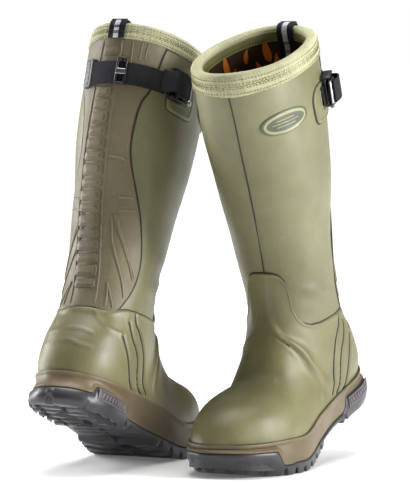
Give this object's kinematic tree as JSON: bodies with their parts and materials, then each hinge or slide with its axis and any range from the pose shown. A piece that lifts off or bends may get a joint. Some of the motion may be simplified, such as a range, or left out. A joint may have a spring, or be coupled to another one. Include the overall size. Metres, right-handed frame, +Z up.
{
  "type": "insulated hunting boots",
  "caption": "Pair of tall rubber and neoprene field boots with buckled calf straps and pull straps, heels raised, shafts leaning together.",
  "frame": {"origin": "middle of the pair's bounding box, on the ground plane that the forefeet stand on", "axes": "+Z up; the right boot stands on the -X side with its toe towards +Y, the left boot on the +X side with its toe towards -Y"},
  "size_m": [0.3524, 0.3036, 0.4604],
  "materials": {
    "outsole_rubber": "matt dark grey moulded rubber",
    "midsole": "satin tan-brown moulded rubber",
    "olive_rubber": "satin olive rubber with a fine pebble grain",
    "panel_rubber": "matt brownish olive rubber, embossed",
    "lining": "dark brown neoprene sock fabric with orange printed shapes",
    "footbed": "black foam with a textile cover",
    "steel": "brushed steel",
    "board": "pressed fibre board",
    "binding": "pale yellow-green stitched tape",
    "webbing": "black woven webbing with a pale reflective stripe on the pull strap",
    "black_rubber": "matt black rubber",
    "badge": "moulded rubber plate",
    "black_plastic": "satin black acetal"
  },
  "bodies": {
    "right_forefoot": {"right_outsole_fore": "outsole_rubber", "right_midsole_fore": "midsole", "right_toe_shell": "olive_rubber", "right_toe_lining": "lining", "right_footbed_fore": "footbed"},
    "right_boot": {"right_outsole_rear": "outsole_rubber", "right_midsole_rear": "midsole", "right_heel_shell": "olive_rubber", "right_foot_lining": "lining", "right_footbed_rear": "footbed", "right_shank": "steel", "right_insole_board": "board", "right_shaft": "olive_rubber", "right_shaft_lining": "lining", "right_cuff_binding": "binding", "right_pull_strap": "webbing", "right_back_panel": "panel_rubber", "right_strap_keeper": "black_rubber", "right_calf_strap": "webbing", "right_strap_anchor": "olive_rubber", "right_badge": "badge", "right_heel_plate": "badge", "right_buckle_frame": "black_plastic", "right_buckle_bar": "steel", "right_strap_end": "webbing"},
    "right_slider": {"right_strap_slider": "black_plastic", "right_slider_bar": "steel"},
    "right_lever": {"right_buckle_lever": "black_plastic"},
    "left_forefoot": {"left_outsole_fore": "outsole_rubber", "left_midsole_fore": "midsole", "left_toe_shell": "olive_rubber", "left_toe_lining": "lining", "left_footbed_fore": "footbed"},
    "left_boot": {"left_outsole_rear": "outsole_rubber", "left_midsole_rear": "midsole", "left_heel_shell": "olive_rubber", "left_foot_lining": "lining", "left_footbed_rear": "footbed", "left_shank": "steel", "left_insole_board": "board", "left_shaft": "olive_rubber", "left_shaft_lining": "lining", "left_cuff_binding": "binding", "left_pull_strap": "webbing", "left_back_panel": "panel_rubber", "left_strap_keeper": "black_rubber", "left_calf_strap": "webbing", "left_strap_anchor": "olive_rubber", "left_badge": "badge", "left_heel_plate": "badge", "left_buckle_frame": "black_plastic", "left_buckle_bar": "steel", "left_strap_end": "webbing"},
    "left_slider": {"left_strap_slider": "black_plastic", "left_slider_bar": "steel"},
    "left_lever": {"left_buckle_lever": "black_plastic"}
  },
  "joints": [
    {"name": "right_ball_flex", "type": "hinge", "parent": "right_forefoot", "child": "right_boot", "pos_m": [-0.06938, 0.04107, 0.004], "axis": [-0.9018, 0.4321, 0], "range_deg": [-21.15, 3]},
    {"name": "right_buckle_lever", "type": "hinge", "parent": "right_boot", "child": "right_lever", "pos_m": [-0.02547, -0.00368, 0.39086], "axis": [-0.163, -0.3508, -0.9222], "range_deg": [0, 70]},
    {"name": "right_strap_slide", "type": "slide", "parent": "right_boot", "child": "right_slider", "axis": [-0.9654, 0.2485, 0.0795], "range_m": [-0.005, 0.005]},
    {"name": "left_ball_flex", "type": "hinge", "parent": "left_forefoot", "child": "left_boot", "pos_m": [0.05922, -0.05113, 0.004], "axis": [0.8854, -0.4648, 0], "range_deg": [-18.2, 6]},
    {"name": "left_buckle_lever", "type": "hinge", "parent": "left_boot", "child": "left_lever", "pos_m": [0.13059, -0.04199, 0.38924], "axis": [-0.1616, -0.2978, 0.9408], "range_deg": [0, 70]},
    {"name": "left_strap_slide", "type": "slide", "parent": "left_boot", "child": "left_slider", "axis": [-0.7744, 0.6289, 0.0694], "range_m": [-0.005, 0.005]},
    {"name": "pair_apart", "type": "slide", "parent": "right_forefoot", "child": "left_forefoot", "axis": [1, 0, 0], "range_m": [0, 0.12]}
  ]
}
